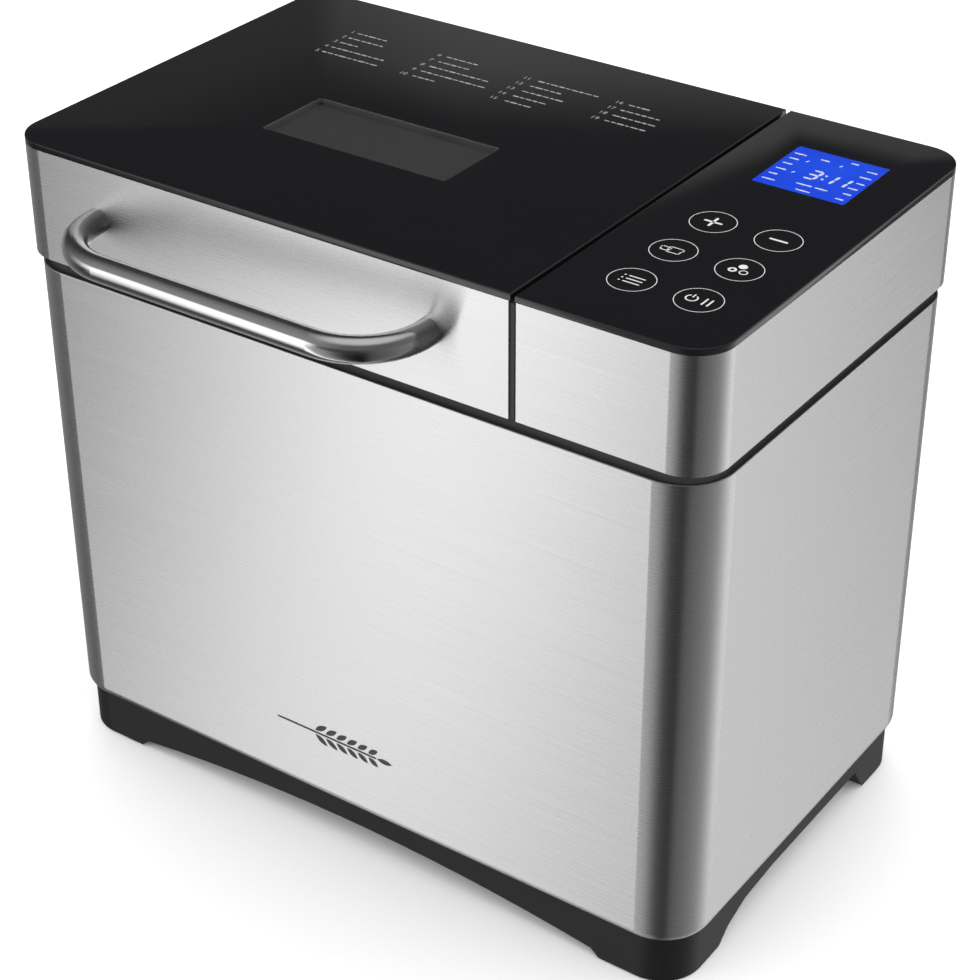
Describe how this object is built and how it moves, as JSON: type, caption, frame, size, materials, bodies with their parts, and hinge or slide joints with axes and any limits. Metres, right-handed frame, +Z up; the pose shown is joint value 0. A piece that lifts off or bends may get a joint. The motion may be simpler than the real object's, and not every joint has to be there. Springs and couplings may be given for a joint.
{
  "type": "bread machine",
  "caption": "Box-shaped bread machine with a hinged glass-topped lid, tube handle, fixed touch panel, loaf pan, paddle, heater and belt drive",
  "frame": {"origin": "on the floor, under the middle of the outer box that holds the body and the handle", "axes": "+X to the right along the front, +Y to the back, +Z up; millimetre model stored in metres"},
  "size_m": [0.36, 0.2604, 0.3233],
  "materials": {
    "brushed_wrap": "brushed along the horizontal",
    "polished_tube": "polished",
    "black_plastic": "fine matte texture",
    "grey_plastic": "fine matte texture",
    "rubber": "matte",
    "black_glass": "glossy, printed black from behind",
    "clear_glass": "glossy",
    "chamber_sheet": "dull sheet",
    "cast_aluminium": "as cast",
    "zinc_steel": "zinc plated",
    "heater_sheath": "dark oxidised steel sheath",
    "ceramic": "unglazed",
    "bronze": "sintered bush",
    "silicone": "soft matte",
    "nonstick": "non-stick coating",
    "circuit_board": "green laminate",
    "display": "backlit blue",
    "capacitor_sleeve": "shrink sleeve"
  },
  "bodies": {
    "root": {"lower_housing": "brushed_wrap", "back_panel": "brushed_wrap", "base": "black_plastic", "rubber_feet": "rubber", "cord_gland": "black_plastic", "top_frame": "grey_plastic", "chamber": "chamber_sheet", "chamber_screws": "zinc_steel", "heater_element": "heater_sheath", "heater_clips": "chamber_sheet", "heater_bushes": "ceramic", "thermistor": "zinc_steel", "thermal_fuse": "black_plastic", "pan_socket": "cast_aluminium", "pan_clips": "zinc_steel", "drive_housing": "cast_aluminium", "drive_bushes": "bronze", "belt": "rubber", "motor_can": "zinc_steel", "motor_bracket": "zinc_steel", "motor_screws": "zinc_steel", "panel_skirt": "brushed_wrap", "panel_frame": "black_plastic", "panel_glass": "black_glass", "touch_board": "circuit_board", "display_module": "display", "touch_springs": "zinc_steel", "board_carrier": "black_plastic", "power_board": "circuit_board", "capacitor": "capacitor_sleeve", "relay": "black_plastic", "hinge_ear_left": "grey_plastic", "hinge_ear_right": "grey_plastic"},
    "lid": {"lid_skirt": "brushed_wrap", "lid_frame": "grey_plastic", "lid_glass": "black_glass", "lid_liner": "chamber_sheet", "window_gasket": "silicone", "window_pane": "clear_glass", "hinge_pin_left": "zinc_steel", "hinge_pin_right": "zinc_steel", "handle": "polished_tube", "handle_screws": "zinc_steel"},
    "pan": {"bread_pan": "nonstick", "pan_foot": "cast_aluminium", "pan_ear_left": "zinc_steel", "pan_ear_right": "zinc_steel", "ear_rivets": "zinc_steel", "pan_bush": "bronze", "shaft_seal": "silicone"},
    "bail": {"bail": "polished_tube"},
    "pan_shaft": {"pan_shaft": "zinc_steel", "pan_coupling": "cast_aluminium"},
    "paddle": {"paddle": "nonstick"},
    "drive": {"drive_coupling": "black_plastic", "drive_shaft": "zinc_steel", "large_pulley": "black_plastic"},
    "motor": {"motor_shaft": "zinc_steel", "motor_pulley": "black_plastic"}
  },
  "joints": [
    {"name": "lid_hinge", "type": "hinge", "parent": "root", "child": "lid", "pos_m": [-0.04475, 0.1232, 0.27], "axis": [-1, 0, 0], "range_deg": [0, 90]},
    {"name": "pan_lift", "type": "slide", "parent": "root", "child": "pan", "axis": [0, 0, 1], "range_m": [0, 0.2]},
    {"name": "bail_hinge", "type": "hinge", "parent": "pan", "child": "bail", "pos_m": [-0.04475, 0.011, 0.207], "axis": [-1, 0, 0], "range_deg": [0, 180]},
    {"name": "drive_spin", "type": "hinge", "parent": "root", "child": "drive", "pos_m": [-0.04475, 0.011, 0.05], "axis": [0, 0, 1], "continuous": true},
    {"name": "motor_spin", "type": "hinge", "parent": "root", "child": "motor", "pos_m": [0.1371, 0.021, 0.05], "axis": [0, 0, 1], "continuous": true},
    {"name": "paddle_spin", "type": "hinge", "parent": "pan", "child": "pan_shaft", "pos_m": [-0.04475, 0.011, 0.09], "axis": [0, 0, 1], "continuous": true},
    {"name": "paddle_lift", "type": "slide", "parent": "pan_shaft", "child": "paddle", "axis": [0, 0, 1], "range_m": [0, 0.03]}
  ],
  "couplings": [
    {"joint": "pan_lift", "follows": "lid_hinge", "m_per_rad": 0.1273},
    {"joint": "motor_spin", "follows": "drive_spin", "ratio": 5.2927},
    {"joint": "paddle_spin", "follows": "drive_spin", "ratio": 1}
  ]
}
